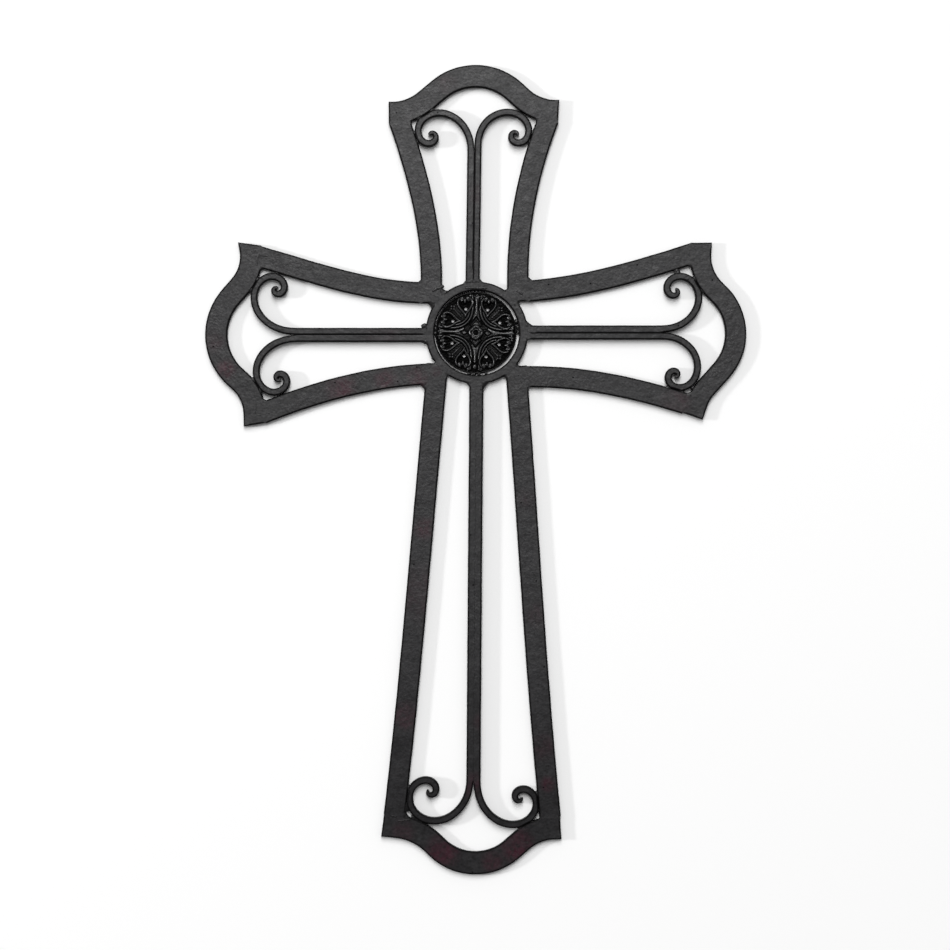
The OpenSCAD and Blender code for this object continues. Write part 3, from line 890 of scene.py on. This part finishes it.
# %% Tack the rosette into the ring
bore_r = min(np.linalg.norm(loop, axis=1).mean() for loop in OUTLINES["hub_ring"])
TACKS = [(1, 2), (8, 3), (16, 3), (80, 1.5), (85, 1.8), (90, 2), (95, 2), (100, 1.8), (106, 1.6),
         (112, 1.5), (118, 1.3), (169, 2), (174, 3), (180, 3), (259, 2), (266, 3), (273, 2), (283, 2)]
TACK_INSIDE, TACK_LEVEL, TACK_SHAPE = 0.9 * MM, 2.5 * MM, np.array((0.75, 0.7, 0.75))
drops = []
for k, (degrees, size) in enumerate(TACKS):
    way = np.array((math.cos(math.radians(degrees)), math.sin(math.radians(degrees))))
    x, z = way * (bore_r - TACK_INSIDE)
    drops.append(droplet((x, -TACK_LEVEL, z), TACK_SHAPE * size * MM, k * 3.1))
# The tacks get the casting's paint with painted shade, as they sit in the gap round the rosette.
WELDS["rosette_tacks"] = gather("rosette_tacks", drops, TACK_SHADE)

# %% [markdown]
# ## Paint and cast iron
# The bars are mild steel under brushed matt black paint. Such paint is never one colour: it dries in
# paler and darker clouds a few centimetres across, with finer mottling on top. Painted shade makes the
# arrises, small pits and weld metal darker and less reflective, and painted shade turns the sheen
# down towards the foot, where less light falls.
# Colours are written as they look on a screen and turned to linear light by one function. Patterns are
# placed by the position on the object in metres, so a scale is one over a real length.

# %% Node helpers


def linear(hex_colour):
    """A colour written as sRGB hex, in linear light, with alpha."""
    channels = [int(hex_colour[i:i + 2], 16) / 255 for i in (1, 3, 5)]
    return tuple(c / 12.92 if c <= 0.04045 else ((c + 0.055) / 1.055) ** 2.4 for c in channels) + (1.0,)


def add(tree, kind, inputs=None, **settings):
    """Adds a node, sets its properties, and fills its inputs with values or links."""
    made = tree.nodes.new(kind)
    for name, value in settings.items():
        setattr(made, name, value)
    for name, value in (inputs or {}).items():
        socket = made.inputs[name]
        if isinstance(value, bpy.types.NodeSocket):
            tree.links.new(value, socket)
        else:
            socket.default_value = value
    return made


def blank(name):
    material = bpy.data.materials.new(name)
    material.use_nodes = True
    material.node_tree.nodes.clear()
    return material, material.node_tree


def patches(tree, place, size, low, high, detail=3.0, rough=0.55):
    """A 0 to 1 pattern of soft patches of a given size in metres."""
    cloud = add(tree, "ShaderNodeTexNoise", {"Vector": place, "Scale": 1 / size, "Detail": detail,
                                             "Roughness": rough})
    return add(tree, "ShaderNodeMapRange", {"Value": cloud.outputs["Fac"], "From Min": low,
                                            "From Max": high}, interpolation_type="SMOOTHSTEP"
               ).outputs["Result"]


# %% [markdown]
# Red primer shows faintly through the black in soft patches, mostly on the lower half. The table gives
# the middle of each patch (x and z), how far it reaches, all in millimetres, and how strongly it shows.

# %% Where the primer shows
PRIMER = [
    (-31, -469, 21, 1.0), (36, -463, 21, 1.0), (14, -478, 14, 0.7), (-227, -33, 13, 0.9),
    (-238, -8, 15, 0.35), (-122, -51, 19, 0.8), (-82, -44, 16, 0.8), (-54, -41, 14, 0.9),
    (-37, -35, 9, 0.45), (-47, -177, 14, 0.7), (-50, -235, 32, 0.25), (-63, -346, 17, 0.85),
    (64, -408, 11, 0.8), (61, -375, 17, 0.3), (-67, -452, 16, 0.35), (-3, -409, 17, 0.6),
    (4, -352, 13, 0.4), (0, 125, 14, 0.45), (-27, 226, 14, 0.3), (180, -63, 19, 0.4),
    (-85, -4, 26, 0.25), (45, -150, 14, 0.2), (56, -255, 16, 0.25),
]
PRIMER_RED = "#33081a"


def primer_share(tree, place):
    """How much primer shows at a place, from 0 to 1, with ragged edges to the patches."""
    share = 0.0
    for x, z, reach, strength in PRIMER:
        away = add(tree, "ShaderNodeVectorMath", {0: place, 1: (x * MM, 0, z * MM)},
                   operation="DISTANCE")
        patch = add(tree, "ShaderNodeMapRange", {
            "Value": away.outputs["Value"], "From Min": reach * MM, "From Max": 0.3 * reach * MM,
            "To Max": strength}, interpolation_type="SMOOTHSTEP")
        share = add(tree, "ShaderNodeMath", {0: share, 1: patch.outputs["Result"]},
                    operation="MAXIMUM").outputs[0]
    ragged = add(tree, "ShaderNodeTexNoise", {"Vector": place, "Scale": 1 / (11 * MM), "Detail": 4.0})
    level = add(tree, "ShaderNodeMapRange", {"Value": ragged.outputs["Fac"], "From Min": 0.3,
                                             "From Max": 0.62, "To Min": 0.35}).outputs["Result"]
    return add(tree, "ShaderNodeMath", {0: share, 1: level}, operation="MULTIPLY").outputs[0]


# %% Matt black paint on forged steel
# A near-black for the paint's darker mottling, and for painted shade on arrises and in small pits, which
# are only painted spots.
DARK_MOTTLE_AND_SHADE = "#0a090a"
PIT_SPACING, PIT_EDGE, PIT_MIDDLE = 40 * MM, 0.024, 0.012
# Painted shade: the sheen is turned down from this height to the foot, for light falling off downwards.
DULL_BELOW, BRIGHT_ABOVE = -430 * MM, -270 * MM


def painted_steel(name, base, pale, roughness):
    """Brushed matt paint: a soft charcoal sheen, wine-red primer, painted shade on arrises, pits and
    foot.
    """
    material, tree = blank(name)
    place = add(tree, "ShaderNodeTexCoord").outputs["Object"]
    axes = add(tree, "ShaderNodeSeparateXYZ", {0: place}).outputs
    clouds = patches(tree, place, 34 * MM, 0.38, 0.66)
    colour = add(tree, "ShaderNodeMix", {0: clouds, 6: linear(base), 7: linear(pale)}, data_type="RGBA")
    colour = add(tree, "ShaderNodeMix", {0: primer_share(tree, place), 6: colour.outputs[2],
                                         7: linear(PRIMER_RED)}, data_type="RGBA")
    mottle = add(tree, "ShaderNodeMath", {0: patches(tree, place, 4.2 * MM, 0.42, 0.68, 4.0), 1: 0.7},
                 operation="MULTIPLY")
    colour = add(tree, "ShaderNodeMix", {0: mottle.outputs[0], 6: colour.outputs[2],
                                         7: linear(DARK_MOTTLE_AND_SHADE)}, data_type="RGBA")
    flat = add(tree, "ShaderNodeCombineXYZ", {0: axes["X"], 1: axes["Z"]}).outputs[0]
    spots = add(tree, "ShaderNodeTexVoronoi", {"Vector": flat, "Scale": 1 / PIT_SPACING},
                voronoi_dimensions="2D")
    pit = add(tree, "ShaderNodeMapRange", {"Value": spots.outputs["Distance"], "From Min": PIT_EDGE,
                                           "From Max": PIT_MIDDLE}).outputs["Result"]
    # Painted shade: along the arrises and in the pits the paint is mixed to near-black and reflects
    # little.
    arris = add(tree, "ShaderNodeAttribute", attribute_name="arris").outputs["Fac"]
    painted_edge_and_pit_shade = add(tree, "ShaderNodeMath", {0: arris, 1: pit}, operation="MAXIMUM").outputs[0]
    colour = add(tree, "ShaderNodeMix", {0: painted_edge_and_pit_shade, 6: colour.outputs[2], 7: linear(DARK_MOTTLE_AND_SHADE)},
                 data_type="RGBA")
    # Painted shade: the sheen fades towards the foot, standing in for light that falls off downwards.
    painted_shade_level = add(tree, "ShaderNodeMapRange", {
        "Value": axes["Z"], "From Min": DULL_BELOW, "From Max": BRIGHT_ABOVE, "To Min": 0.62,
        "To Max": 1.0}).outputs["Result"]
    grit = add(tree, "ShaderNodeTexNoise", {"Vector": place, "Scale": 1 / (1.9 * MM), "Detail": 2.0})
    speckle = add(tree, "ShaderNodeMapRange", {"Value": grit.outputs["Fac"], "From Min": 0.3,
                                               "From Max": 0.7, "To Min": 0.38, "To Max": 0.58})
    face_gloss = add(tree, "ShaderNodeMath", {0: speckle.outputs["Result"], 1: painted_shade_level},
                     operation="MULTIPLY")
    gloss = add(tree, "ShaderNodeMix", {0: painted_edge_and_pit_shade, 2: face_gloss.outputs[0], 3: 0.05}, data_type="FLOAT")
    sheen = patches(tree, place, 12 * MM, 0.3, 0.7)
    rough = add(tree, "ShaderNodeMapRange", {"Value": sheen, "To Min": roughness - 0.05,
                                             "To Max": roughness + 0.06}).outputs["Result"]
    brush = add(tree, "ShaderNodeTexNoise", {"Vector": place, "Scale": 1 / (2.2 * MM), "Detail": 3.0})
    dents = add(tree, "ShaderNodeTexNoise", {"Vector": place, "Scale": 1 / (9 * MM), "Detail": 1.0})
    height = add(tree, "ShaderNodeMath", {0: brush.outputs["Fac"], 1: 0.6, 2: dents.outputs["Fac"]},
                 operation="MULTIPLY_ADD")
    bump = add(tree, "ShaderNodeBump", {"Height": height.outputs[0], "Strength": 0.75,
                                        "Distance": 0.5 * MM})
    shader = add(tree, "ShaderNodeBsdfPrincipled", {
        "Base Color": colour.outputs[2], "Roughness": rough, "Specular IOR Level": gloss.outputs[0],
        "Normal": bump.outputs["Normal"]})
    add(tree, "ShaderNodeOutputMaterial", {"Surface": shader.outputs[0]})
    return material


bar_paint = painted_steel("matt_black_paint_on_forged_bar", "#19181a", "#201f21", 0.42)
scroll_paint = painted_steel("matt_black_paint_on_square_bar", "#171618", "#1d1c1e", 0.40)
weld_paint = painted_steel("matt_black_paint_on_weld_metal", "#171618", "#1c1b1d", 0.38)


# %% Gloss black paint on cast iron
def painted_casting(name):
    """Bitumen black over sand-cast iron: hollows darkened by painted shade, thin grey glints along
    ridges.
    """
    material, tree = blank(name)
    place = add(tree, "ShaderNodeTexCoord").outputs["Object"]
    painted_hollow_shade = add(tree, "ShaderNodeAttribute", attribute_name="arris").outputs["Fac"]
    clouds = patches(tree, place, 8 * MM, 0.35, 0.7)
    colour = add(tree, "ShaderNodeMix", {0: clouds, 6: linear("#1b1b1c"), 7: linear("#252526")},
                 data_type="RGBA")
    # Painted shade: the hollows are mixed to near-black and lose most of their gloss.
    colour = add(tree, "ShaderNodeMix", {0: painted_hollow_shade, 6: colour.outputs[2], 7: linear("#030303")},
                 data_type="RGBA")
    gloss = add(tree, "ShaderNodeMapRange", {"Value": painted_hollow_shade, "To Min": 0.8, "To Max": 0.03})
    grain = add(tree, "ShaderNodeTexNoise", {"Vector": place, "Scale": 1 / (0.9 * MM), "Detail": 2.0})
    bump = add(tree, "ShaderNodeBump", {"Height": grain.outputs["Fac"], "Strength": 0.3,
                                        "Distance": 0.2 * MM})
    shader = add(tree, "ShaderNodeBsdfPrincipled", {
        "Base Color": colour.outputs[2], "Roughness": 0.28, "Specular IOR Level": gloss.outputs["Result"],
        "Normal": bump.outputs["Normal"]})
    add(tree, "ShaderNodeOutputMaterial", {"Surface": shader.outputs[0]})
    return material


cast_paint = painted_casting("gloss_black_paint_on_cast_iron")

# %% Give every piece its paint and its body, and hide the solids it replaces


def dress(piece, material, slot, *nodes):
    piece.data.materials.clear()
    piece.data.materials.append(material)
    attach(piece, ROOT)
    if nodes:
        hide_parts(*nodes)


for n, piece in BARS.items():
    if n in SCROLLS:
        dress(piece, scroll_paint, "scroll_paint", n)
    else:
        dress(piece, bar_paint, "bar_paint", n)
for n, piece in WELDS.items():
    if n == "rosette_tacks":
        dress(piece, cast_paint, "cast_iron_paint")
    else:
        dress(piece, weld_paint, "bar_paint")
dress(rosette, cast_paint, "cast_iron_paint", "rosette")
print("pieces dressed:", len(BARS) + len(WELDS) + 1)

# %% [markdown]
# ## The wall, the light and the camera
# The cross hangs flat on a white wall. The wall is a stage, not part of the object: it is one large
# plane a hair behind the cross, seen only from in front, so that the back can be looked at too. The
# light is a plain, pale surround, a large soft lamp in front and above, which gives the matt paint its
# sheen, and a low lamp on the left, which throws the narrow shadows to the right of the bars.

# %% White plaster wall
WALL_GAP, WALL_HALF = 0.0004, 6.0
wall_mesh = bpy.data.meshes.new("wall")
wall_mesh.from_pydata([(-WALL_HALF, WALL_GAP, -WALL_HALF), (WALL_HALF, WALL_GAP, -WALL_HALF),
                       (WALL_HALF, WALL_GAP, WALL_HALF), (-WALL_HALF, WALL_GAP, WALL_HALF)],
                      [], [(0, 1, 2, 3)])
wall = bpy.data.objects.new("wall", wall_mesh)
bpy.context.collection.objects.link(wall)
wall_paint, tree = blank("white_wall_paint")
rays = add(tree, "ShaderNodeLightPath")
seen = add(tree, "ShaderNodeMath", {0: rays.outputs["Is Camera Ray"], 1: rays.outputs["Is Glossy Ray"]},
           operation="MAXIMUM").outputs[0]
behind = add(tree, "ShaderNodeNewGeometry").outputs["Backfacing"]
shown = add(tree, "ShaderNodeMath", {0: seen, 1: behind}, operation="SUBTRACT", use_clamp=True).outputs[0]
plaster = add(tree, "ShaderNodeBsdfDiffuse", {"Color": linear("#fdfdfd")})
clear = add(tree, "ShaderNodeBsdfTransparent")
look = add(tree, "ShaderNodeMixShader", {0: shown, 1: clear.outputs[0], 2: plaster.outputs[0]})
add(tree, "ShaderNodeOutputMaterial", {"Surface": look.outputs[0]})
wall_mesh.materials.append(wall_paint)

# %% Lamps and surround
scene = bpy.context.scene
scene.view_settings.view_transform = "Standard"


def area_lamp(name, at, towards, size, watts):
    lamp = bpy.data.lights.new(name, "AREA")
    lamp.shape = "RECTANGLE"
    lamp.size, lamp.size_y = size
    lamp.energy = watts
    holder = bpy.data.objects.new(name, lamp)
    holder.location = at
    holder.rotation_euler = (Vector(towards) - Vector(at)).to_track_quat("-Z", "Y").to_euler()
    bpy.context.collection.objects.link(holder)
    return holder


area_lamp("soft_lamp_above", (-0.3, -6.5, 4.25), (0, 0, -0.1), (3.0, 6.0), 440.0)
area_lamp("low_lamp_left", (-6.8, -2.5, 0.2), (0, 0, -0.1), (0.45, 0.6), 215.0)
world = bpy.data.worlds.new("pale_room")
world.use_nodes = True
tree = world.node_tree
tree.nodes.clear()
rays = add(tree, "ShaderNodeLightPath")
height_of = add(tree, "ShaderNodeSeparateXYZ", {0: add(tree, "ShaderNodeTexCoord").outputs["Generated"]})
rise = add(tree, "ShaderNodeMapRange", {"Value": height_of.outputs["Z"], "From Min": -0.3,
                                        "From Max": 0.5, "To Min": 0.2, "To Max": 0.56},
           interpolation_type="SMOOTHSTEP")
strength = add(tree, "ShaderNodeMath", {0: rise.outputs["Result"], 1: rays.outputs["Is Camera Ray"]},
               operation="MAXIMUM")
room = add(tree, "ShaderNodeBackground", {"Color": linear("#ffffff"), "Strength": strength.outputs[0]})
add(tree, "ShaderNodeOutputWorld", {"Surface": room.outputs[0]})
scene.world = world

# %% Camera
VIEW_WIDTH, DISTANCE, SENSOR = 0.859, 2.2, 36.0
AIM_X, AIM_Z, BAR_FACE = -1.6 * MM, -128.53 * MM, 4.8 * MM
camera_data = bpy.data.cameras.new("camera")
camera_data.sensor_width = SENSOR
camera_data.lens = SENSOR * DISTANCE / VIEW_WIDTH
camera = bpy.data.objects.new("camera", camera_data)
camera.location = (AIM_X, -DISTANCE - BAR_FACE, AIM_Z)
camera.rotation_euler = (math.pi / 2, 0, 0)
bpy.context.collection.objects.link(camera)
scene.camera = camera
print("lens, mm:", round(camera_data.lens, 1))
